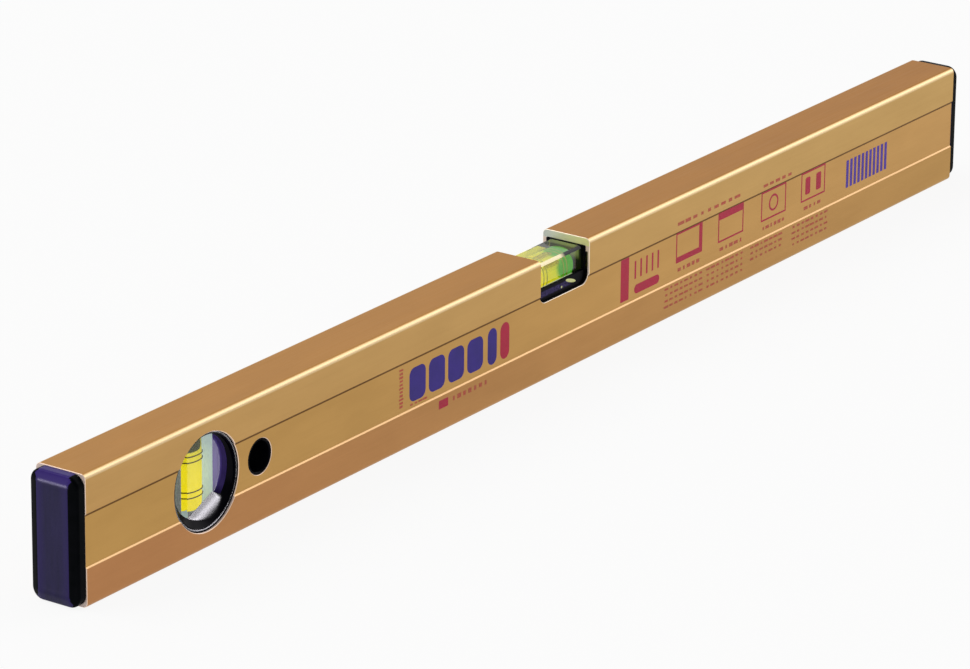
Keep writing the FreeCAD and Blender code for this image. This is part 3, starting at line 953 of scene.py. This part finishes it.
def vialBlock(name, half, place, node, isLevel):
    look = vialLook
    side, reach, bevel = look["side"] / 2 - look["seatGap"], half - look["seatGap"], look["bevel"]
    corner = look["wideBevel"] if isLevel else bevel
    loops = []
    for x, shrink in softened([(-reach, bevel), (-reach, 0), (reach, 0), (reach, bevel)], bevel, 3):
        outline = roundedBox(side - shrink, -side + shrink, side - shrink, corner, 3)
        loops.append([place @ Vector((x, y, z)) for y, z in outline])
    mesh = bmesh.new()
    addLoft(mesh, loops)
    endFace = bondedFace if isLevel else frostedFace
    obj = rawObject(name, mesh, acrylic, boreAcrylic, endFace, paleEdge, paleBacking)
    bore = bmesh.new()
    outline = boreOutline(0.0)
    seat = look["plugRadius"]
    addTurned(bore, [(-half - 1, 0.0), (-half - 1, seat), (outline[0][0], seat)] + outline[1:], place)
    markFaces(bore, 1)
    cutAway(obj, [rawObject("bore", bore, acrylic, boreAcrylic)])
    flat, slanted = look["endFacing"], look["chamferFacing"]
    for face in obj.data.polygons:
        if face.material_index != 0:
            continue
        if face.normal.x > flat or (isLevel and face.normal.x < -flat):
            face.material_index = 2
        # the upper front chamfer takes the pale painted highlight
        elif isLevel and abs(face.normal.y) > slanted and face.normal.z > slanted:
            face.material_index = 3
        elif isLevel and face.normal.z < -flat:
            face.material_index = 4
    return finishPiece(obj, node, angle=25)


def turnedPiece(name, profile, place, material, node, body="root", segments=96):
    mesh = bmesh.new()
    addTurned(mesh, profile, place, segments)
    return finishPiece(rawObject(name, mesh, material), node, body)


def vialRings(name, place, node, material):
    look = vialLook
    mesh = grow(ringMarks, {
        "Hoop Radius": look["boreRadius"] + look["ringSkin"] + look["ringHeight"] / 2,
        "Width": look["ringWidth"],
        "Height": look["ringHeight"], "Inner Offset": look["ringInner"], "Outer Offset": look["ringOuter"],
        "Material": material,
    })
    mesh.transform(place)
    mesh.name = name
    return finishPiece(linked(name, mesh), node)


def commonParts(kind, half, place, rings):
    # what both vials have: block, plug, fluid and rings
    look = vialLook
    node = kind + "_vial_"
    vialBlock(kind + "VialBlock", half, place, node + "block", kind == "level")
    start, end, radius = look["plugSunk"] - half, -look["boreHalf"], look["plugRadius"] - look["plugGap"]
    plug = softened([(start, 0.0), (start, radius), (end, radius), (end, 0.0)], look["plugEdge"])
    turnedPiece(kind + "VialPlug", plug, place, plugPlastic, node + "plug")
    fluid = boreOutline(look["boreGap"])
    turnedPiece(kind + "VialFluid", fluid, place, vialFluid, node + "fluid")
    vialRings(kind + "VialRings", place, node + "rings", rings)


def levelVial():
    look = vialLook
    place = Matrix.Translation((0, 0, look["levelAxisZ"]))
    commonParts("level", look["levelHalf"], place, paleRingPaint)
    radius, half = look["levelBubbleRadius"], look["levelBubbleHalf"]
    end = arc((radius - half, 0), radius, 180, -90, 12)
    outline = end + [(-x, r) for x, r in reversed(end)]
    lifted = place @ Matrix.Translation((0, 0, look["levelBubbleLift"]))
    turnedPiece("levelVialBubble", outline, lifted, longBubble, "level_vial_bubble", "level_bubble", 64)


def plumbVial():
    look = vialLook
    upright = Matrix.Rotation(math.radians(90), 4, "Y")
    place = Matrix.Translation((openings["windowX"], 0, look["plumbMiddle"])) @ upright
    commonParts("plumb", look["plumbHalf"], place, ringPaint)
    start, radius = look["plumbBubbleStart"], look["plumbBubbleRadius"]
    end = start + look["plumbBubbleHeight"]
    outline = softened([(start, 0.0), (start, radius), (end, radius), (end, 0.0)], look["plumbBubbleRound"], 8)
    turnedPiece("plumbVialBubble", outline, place, uprightBubble, "plumb_vial_bubble", "plumb_bubble", 64)


levelVial()
plumbVial()
softCopy("levelVialCarrier", "level_vial_carrier", carrierPlastic, 0.3)

reflectionLayout = dict(
    # painted reflections of the vial on the carrier's front, as thin glowing patches: X, Z, half length, half
    # height and tilt in degrees
    faceY=-9.1, thickness=0.25, patches=((6.6, 35.4, 3.6, 0.75, 18.0), (0.3, 34.5, 0.5, 0.45, 0.0)),
)


def curedDrops():
    look = reflectionLayout
    mesh = bmesh.new()
    # each patch is a painted reflection of the vial
    for x, z, halfLength, halfHeight, tilt in look["patches"]:
        place = Matrix.Translation((x, look["faceY"], z)) @ Matrix.Rotation(math.radians(tilt), 4, "Y")
        place = place @ Matrix.Diagonal((halfLength, look["thickness"], halfHeight, 1.0))
        bmesh.ops.create_uvsphere(mesh, u_segments=32, v_segments=16, radius=1.0, matrix=place)
    return finishPiece(rawObject("curedDrops", mesh, reflectionPatch))


curedDrops()
print("stage: vials filled")


# Housing of the plumb vial and bush of the hang hole

housing = dict(
    rimY=9.9, noseRadius=18.7, mouthRadius=17.5, boreRadius=15.7, boreLift=1.5, boreFrom=7.5, land=0.3,
    flangeRadius=20.6, flangeOuter=9.1, flangeInner=7.1, webFront=4.6, webBack=3.1, cavityRadius=15.0,
    rimEdge=0.35, beyond=1.0, ledgeTurn=-68.3, ledgeReach=9.3, ledgeTop=19.0, ledgeStart=0.08, ledgeCurve=0.45,
    ledgeEnd=-40.0, ledgeFade=6.0, floorSteps=((0, 0.6), (0.18, 0.18), (0.6, 0)), mouthSteps=12, footEase=0.04,
    ledgeFacing=0.1, coneClear=2.0, lipStep=0.1,
)


def circleReach(radius, offset, angle):
    # how far a circle's edge lies from a point below its centre, along an angle
    return offset * math.sin(angle) + math.sqrt(radius ** 2 - (offset * math.cos(angle)) ** 2)


def mouthLoop(side, y, coneRadius, mouthRadius, ledge, steps=192):
    # where the cone about the raised bore, the round mouth and the straight ledge overlap at one depth
    look = housing
    lift, turn = look["boreLift"], math.radians(look["ledgeTurn"])
    points = []
    for i in range(steps):
        angle = 2 * math.pi * i / steps
        reach = min(circleReach(coneRadius, lift / 2, angle), circleReach(mouthRadius, -lift / 2, angle))
        towards = math.cos(angle - turn)
        past = math.degrees(math.remainder(angle, 2 * math.pi)) - look["ledgeEnd"]
        if towards > look["ledgeFacing"] and past < 0:
            share = min(-past / look["ledgeFade"], 1.0)
            reach += (min(reach, ledge / towards) - reach) * share
        x, z = openings["windowX"] + reach * math.cos(angle), middleZ + lift / 2 + reach * math.sin(angle)
        points.append((x, side * y, z))
    return points


def mouthLoops(side):
    # the funnel from its floor, up past the ledge to the round mouth
    look = housing
    depth = look["rimY"] - look["boreFrom"]
    rimEdge, bore, mouth = look["rimEdge"], look["boreRadius"], look["mouthRadius"]
    growth = (mouth + look["boreLift"] - bore) / (depth - look["land"])
    ledge, top, ease = look["ledgeReach"], look["ledgeTop"], look["footEase"]
    loops = []
    for y, shrink in look["floorSteps"]:
        loops.append(mouthLoop(side, look["webFront"] + y, bore - shrink, mouth, ledge - shrink))
    start = look["boreFrom"] + look["ledgeStart"]
    loops.append(mouthLoop(side, start - ease, bore + ease, mouth, ledge))
    for step in range(1, look["mouthSteps"] + 1):
        share = (step / look["mouthSteps"]) ** 2
        y = start + (depth - rimEdge - look["ledgeStart"]) * share
        dished = ledge + (top - ledge) * share ** look["ledgeCurve"]
        loops.append(mouthLoop(side, y, bore + growth * (y - look["boreFrom"]), mouth, dished))
    widest, lip = bore + growth * depth + look["coneClear"], look["lipStep"]
    for y, flare in ((-lip, lip), (0.0, rimEdge), (look["beyond"], rimEdge + look["beyond"])):
        loops.append(mouthLoop(side, look["rimY"] + y, widest, mouth + flare, top + flare))
    return loops


def plumbHousing(side, label):
    look = housing
    rim, nose, flange = look["rimY"], look["noseRadius"], look["flangeRadius"]
    turned = Matrix.Rotation(math.radians(90 * side), 4, "Z")
    toSide = Matrix.Translation((openings["windowX"], 0, middleZ)) @ turned
    shoulder = [(0.0, 0.0), (rim, 0.0), (rim, nose), (look["flangeOuter"], nose)]
    back = [
        (look["flangeOuter"], nose), (look["flangeOuter"], flange), (look["flangeInner"], flange),
        (look["flangeInner"], nose), (0.0, nose), (0.0, 0.0),
    ]
    mesh = bmesh.new()
    addTurned(mesh, softened(shoulder, look["rimEdge"])[:-1] + back, toSide, 128)
    obj = rawObject("plumbHousing" + label, mesh, housingPlastic)
    hollow, cavity, slot = bmesh.new(), bmesh.new(), bmesh.new()
    addLoft(hollow, mouthLoops(side))
    raised = Matrix.Translation((0, 0, look["boreLift"])) @ toSide
    addTube(cavity, -look["beyond"], look["webBack"], look["cavityRadius"], raised)
    half, x = vialLook["side"] / 2, openings["windowX"]
    middle, reach = vialLook["plumbMiddle"], vialLook["plumbHalf"]
    addPrism(slot, rectangle(x - half, x + half, middle - reach, middle + reach), -half, half, "y")
    cutAway(obj, [rawObject("tool", tool, housingPlastic) for tool in (hollow, cavity, slot)])
    return finishPiece(obj, "plumb_housing_" + label.lower(), angle=35)


bush = dict(inner=5.9, play=0.02, edge=0.4, short=0.1)


def hangHoleBush():
    end = bandFace - bush["short"]
    inner, outer, edge = bush["inner"], openings["holeRadius"] - bush["play"], bush["edge"]
    ring = [
        (-end, inner + edge), (-end + edge, inner), (end - edge, inner), (end, inner + edge), (end, outer),
        (-end, outer),
    ]
    mesh = bmesh.new()
    addTurned(mesh, ring, throughHole, closed=True)
    return finishPiece(rawObject("hangHoleBush", mesh, blackPlastic), "hang_hole_bush")


plumbHousing(-1, "Front")
plumbHousing(1, "Rear")
hangHoleBush()
print("stage: housing and bush in place")


# Magnet sets in the sole

magnetLayout = dict(cupWall=1.2, cupBase=0.8, edge=0.15, gap=0.03, drop=0.02, barEdge=0.15)


def magnetCup(side, label):
    look = magnetLayout
    middle, depth = side * openings["pocketX"], openings["pocketDepth"]
    halfLength, radius = openings["pocketLength"] / 2, openings["pocketWidth"] / 2
    inside, wall, edge, gap = depth - look["cupBase"], look["cupWall"], look["edge"], look["gap"]
    steps = [(wall, inside), (wall, edge), (wall - edge, 0)]
    steps += [(edge + gap, 0), (gap, edge), (gap, depth - look["drop"])]
    loops = []
    for shrink, z in steps:
        loops.append([(x, y, z) for x, y in stadium(middle, halfLength - shrink, radius - shrink)])
    mesh = bmesh.new()
    addLoft(mesh, loops)
    finishPiece(rawObject("magnetCup" + label, mesh, cupSteel), "magnet_cup_" + label.lower())


for side, label in ((-1, "Left"), (1, "Right")):
    magnetCup(side, label)
    for place in ("outer", "inner"):
        node = "magnet_" + label.lower() + "_" + place
        name = "magnet" + label + place.capitalize()
        softCopy(name, node, magnetPlate, magnetLayout["barEdge"])
    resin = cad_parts["magnet_resin_" + label.lower()]
    resin.data.materials.clear()
    resin.data.materials.append(pottingResin)
print("stage: magnets seated")


# Print on the front face

ink = dict(proud=0.02, sunk=0.06)
inkDepth = ink["proud"] + ink["sunk"]
bandY = -bandFace
faceY = -section["halfWidth"]

blueGroup = dict(firstX=-97.2, pitch=12.5, count=4, halfWidth=5.2, low=17.9, high=31.3, rounding=3.0)
pills = dict(blueX=-48.4, redX=-40.0, halfWidth=3.0, low=17.2, high=32.0)
redGroup = dict(
    bar=(39.8, 45.6, 16.7, 34.4), strokeX=50.2, strokePitch=4.1, strokeCount=5, strokeWidth=1.1,
    strokeLow=24.0,
    strokeHigh=31.5, pillX=58.6, pillZ=19.5, pillHalf=9.0, pillRadius=1.9, flag=(-84.0, -78.0, 9.8, 13.2),
)
frames = dict(
    left=(79.6, 110.6, 143.0, 173.7), right=(98.8, 129.5, 161.9, 192.4), low=22.0, high=34.6, line=0.7,
    heavy=2.4,
    discOuter=3.6, discInner=2.7, barOffset=4.2, barHalf=1.9, barMargin=2.6, barRound=0.8,
)
stripes = dict(firstX=210.2, pitch=3.06, count=11, width=1.9, low=19.0, high=31.0)
fineLines = [
    # x, z, dashes, pitch, height and the face they lie on
    (79.5, 38.6, 9, 5.2, 1.5, faceY), (143.0, 37.4, 5, 4.6, 1.4, faceY), (80.5, 18.9, 5, 3.4, 1.7, bandY),
    (111.5, 18.9, 5, 3.6, 1.7, bandY), (143.5, 18.9, 6, 3.0, 1.6, bandY), (176.0, 18.9, 4, 3.4, 1.6, bandY),
    (-102.5, 16.9, 4, 2.9, 0.8, bandY), (-76.0, 11.6, 7, 3.5, 2.0, faceY),
]
lineBlocks = dict(
    # each block's x, top z, lines and dashes in a line
    blocks=((70.5, 13.4, 4, 8), (101.0, 13.4, 4, 8), (134.0, 13.4, 3, 7), (166.0, 13.4, 4, 8)),
    pitch=3.6, height=1.0, spacing=2.5, least=(0.3, 1.0, 0.8), fill=0.93,
)
ladder = dict(count=11, place=(-107.7, 18.0), pitch=1.45, size=(2.8, 1.0), least=(0.6, 1.0, 0.7))


def addSlab(mesh, outline, y=bandY):
    addPrism(mesh, outline, y - ink["proud"], y + ink["sunk"], "y")


def addRing(mesh, outer, inner):
    front, back = bandY - ink["proud"], bandY + ink["sunk"]
    loops = ((front, outer), (front, inner), (back, inner), (back, outer))
    addLoft(mesh, [[(x, y, z) for x, z in outline] for y, outline in loops], joinEnds=True)


def addBars(mesh, count, place, step, size, y=bandY, least=plain, seed=0):
    # a row of bars on the band or the face; place, step and size are X and Z
    row = grow(barRow, {
        "Count": count, "Start": (place[0], y + (ink["sunk"] - ink["proud"]) / 2, place[1]),
        "Step": (step[0], 0, step[1]), "Size": (size[0], inkDepth, size[1]), "Least": least, "Seed": seed,
        "Material": redInk,
    })
    mesh.from_mesh(row)
    bpy.data.meshes.remove(row)


def addPill(mesh, x):
    radius = pills["halfWidth"]
    addSlab(mesh, roundedBox(radius, pills["low"], pills["high"], radius, 4, x))


def addStrokes(mesh, first, pitch, count, width, low, high):
    # a row of equal upright strokes
    addBars(mesh, count, (first, (high + low) / 2), (pitch, 0), (width, high - low))


def bluePrint(mesh):
    look = blueGroup
    for i in range(look["count"]):
        middle = look["firstX"] + i * look["pitch"]
        addSlab(mesh, roundedBox(look["halfWidth"], look["low"], look["high"], look["rounding"], middle=middle))
    addPill(mesh, pills["blueX"])


def redPrint(mesh):
    look = redGroup
    addPill(mesh, pills["redX"])
    addSlab(mesh, rectangle(*look["bar"]))
    addSlab(mesh, stadium(look["pillX"], look["pillHalf"], look["pillRadius"], look["pillZ"]))
    addStrokes(mesh, *(look["stroke" + name] for name in ("X", "Pitch", "Count", "Width", "Low", "High")))
    left, right, low, high = (frames[name] for name in ("left", "right", "low", "high"))
    line, heavy = frames["line"], frames["heavy"]
    for start, end in zip(left, right):
        inner = rectangle(start + line, end - line, low + line, high - line)
        addRing(mesh, rectangle(start, end, low, high), inner)
    addSlab(mesh, rectangle(left[0] + line, right[0] - line, low + line, low + heavy))
    addSlab(mesh, rectangle(right[0] - heavy, right[0] - line, low + heavy, high - line))
    addSlab(mesh, rectangle(left[1] + line, right[1] - line, high - heavy - line, high - line))
    centre = ((left[2] + right[2]) / 2, (low + high) / 2)
    addRing(mesh, disc(centre, frames["discOuter"]), disc(centre, frames["discInner"]))
    for offset in (-frames["barOffset"], frames["barOffset"]):
        middle, margin = (left[3] + right[3]) / 2 + offset, frames["barMargin"]
        addSlab(mesh, roundedBox(frames["barHalf"], low + margin, high - margin, frames["barRound"], 4, middle))
    addSlab(mesh, rectangle(*look["flag"]), faceY)


def finePrint(mesh):
    # broken lines of short dashes, as generic filler
    look = lineBlocks
    lines = list(fineLines)
    for x, top, count, dashes in look["blocks"]:
        for i in range(count):
            lines.append((x, top - i * look["spacing"], dashes, look["pitch"], look["height"], faceY))
    for seed, (x, z, count, pitch, height, y) in enumerate(lines, 1):
        size = (pitch * look["fill"], height)
        addBars(mesh, count, (x + pitch / 2, z), (pitch, 0), size, y, look["least"], seed)
    look, seed = ladder, len(lines) + 1
    addBars(mesh, look["count"], look["place"], (0, look["pitch"]), look["size"], least=look["least"], seed=seed)


def stripePrint(mesh):
    addStrokes(mesh, *(stripes[name] for name in ("firstX", "pitch", "count", "width", "low", "high")))


for name, build, colour in (
    ("printBlue", bluePrint, blueInk), ("printRed", redPrint, redInk), ("printFine", finePrint, paleRedInk),
    ("printStripes", stripePrint, violetInk),
):
    mesh = bmesh.new()
    build(mesh)
    finishPiece(rawObject(name, mesh, colour), angle=None)
print("stage: print laid on")


# Floor, light and camera

stageLook = dict(floorHalf=12.0, floorZ=-0.0001, glowShare=0.9, pale=(0.9, 0.9, 0.89, 1.0), ambient=0.55)
surround = dict(
    # what shiny surfaces see: bright behind the object and to its right, dim in front
    bright=(0.7, 0.7, 0.14), dimAt=-0.35, brightAt=0.2, dimmest=0.15,
)
lamps = dict(
    # direction from the object to the lamp, strength, angle in degrees
    key=((0.772, -0.342, 0.536), 0.3, 40.0),
    back=((-0.342, 0.536, 0.772), 0.7, 40.0),
)
gleams = dict(
    # small soft boxes that only glint on a few glossy pieces
    housingGleam=((0.709, -0.681, -0.183), 18.0, 14.0, ("plumbHousingFront", "plumbHousingRear")),
    capGleam=((-0.84, 0.536, -0.06), 2.0, 10.0, ("endCapLeft", "endCapRight")),
)
cameraLook = dict(place=(-1.6837, -1.1428, 0.7522), yaw=55.22, pitch=19.97, roll=0.57, lens=206.4, sensor=36.0)


def whiteRays(tree):
    # 1 for the rays that should meet a white background
    rays = addNode(tree, "ShaderNodeLightPath", output=None)
    seen = arithmetic(tree, "MAXIMUM", rays["Is Camera Ray"], rays["Is Glossy Ray"])
    return arithmetic(tree, "MAXIMUM", seen, rays["Is Transmission Ray"])


def buildFloor():
    look = stageLook
    half = look["floorHalf"]
    material, tree, shader = startMaterial("paleFloor")
    feed(tree, shader, {"Base Color": look["pale"], "Roughness": 0.9, "Specular IOR Level": 0.0})
    glow = addNode(tree, "ShaderNodeEmission")
    share = arithmetic(tree, "MULTIPLY", whiteRays(tree), look["glowShare"])
    surfaced(tree, mixed(tree, share, shader.outputs[0], glow))
    floor = bpy.data.meshes.new("floor")
    corners = [(x, y, look["floorZ"]) for x, y in rectangle(-half, half, -half, half)]
    floor.from_pydata(corners, [], [(0, 1, 2, 3)])
    floor.materials.append(material)
    linked("floor", floor)


def buildWorld():
    world = bpy.data.worlds.new("studio")
    world.use_nodes = True
    tree = world.node_tree
    soft = tree.nodes["Background"]
    feed(tree, soft, {"Color": white, "Strength": stageLook["ambient"]})
    backdrop = addNode(tree, "ShaderNodeBackground", {"Color": white})
    diffuse = mixed(tree, whiteRays(tree), soft.outputs[0], backdrop)
    shiny = addNode(tree, "ShaderNodeBackground", {"Color": white, "Strength": surroundStrength(tree)})
    glossy = addNode(tree, "ShaderNodeLightPath", output="Is Glossy Ray")
    feed(tree, tree.nodes["World Output"], {"Surface": mixed(tree, glossy, diffuse, shiny)})
    bpy.context.scene.world = world


def surroundStrength(tree):
    look = surround
    around = addNode(tree, "ShaderNodeTexCoord", output="Generated")
    directions = {0: around, 1: Vector(look["bright"]).normalized()}
    towards = addNode(tree, "ShaderNodeVectorMath", directions, "Value", operation="DOT_PRODUCT")
    return ranged(tree, towards, look["dimAt"], look["brightAt"], look["dimmest"], 1.0)


def addSun(name, direction, strength, angle):
    data = bpy.data.lights.new(name, "SUN")
    data.energy = strength
    data.angle = math.radians(angle)
    lamp = linked(name, data)
    lamp.rotation_euler = Vector(direction).to_track_quat("Z", "Y").to_euler()
    return lamp


def buildLamps():
    for name, values in lamps.items():
        addSun(name, *values)
    for name, (direction, strength, angle, pieces) in gleams.items():
        lamp = addSun(name, direction, strength, angle)
        lamp.visible_diffuse = False
        lamp.data.use_shadow = False
        lit = bpy.data.collections.new(name)
        for piece in pieces:
            lit.objects.link(bpy.data.objects[piece])
        lamp.light_linking.receiver_collection = lit


def buildCamera():
    look = cameraLook
    yaw, pitch, roll = (math.radians(look[name]) for name in ("yaw", "pitch", "roll"))
    forward = Vector((math.sin(yaw) * math.cos(pitch), math.cos(yaw) * math.cos(pitch), -math.sin(pitch)))
    levelRight = Vector((math.cos(yaw), -math.sin(yaw), 0))
    levelUp = levelRight.cross(forward)
    right = levelRight * math.cos(roll) + levelUp * math.sin(roll)
    up = levelUp * math.cos(roll) - levelRight * math.sin(roll)
    data = bpy.data.cameras.new("camera")
    data.lens = look["lens"]
    data.sensor_width = look["sensor"]
    data.clip_end = 60.0
    camera = linked("camera", data)
    turned = Matrix((right, up, -forward)).transposed().to_4x4()
    camera.matrix_world = Matrix.Translation(look["place"]) @ turned
    bpy.context.scene.camera = camera


buildFloor()
buildWorld()
buildLamps()
buildCamera()
bpy.context.scene.view_settings.view_transform = "Standard"
print("stage: floor, lamps and camera set")
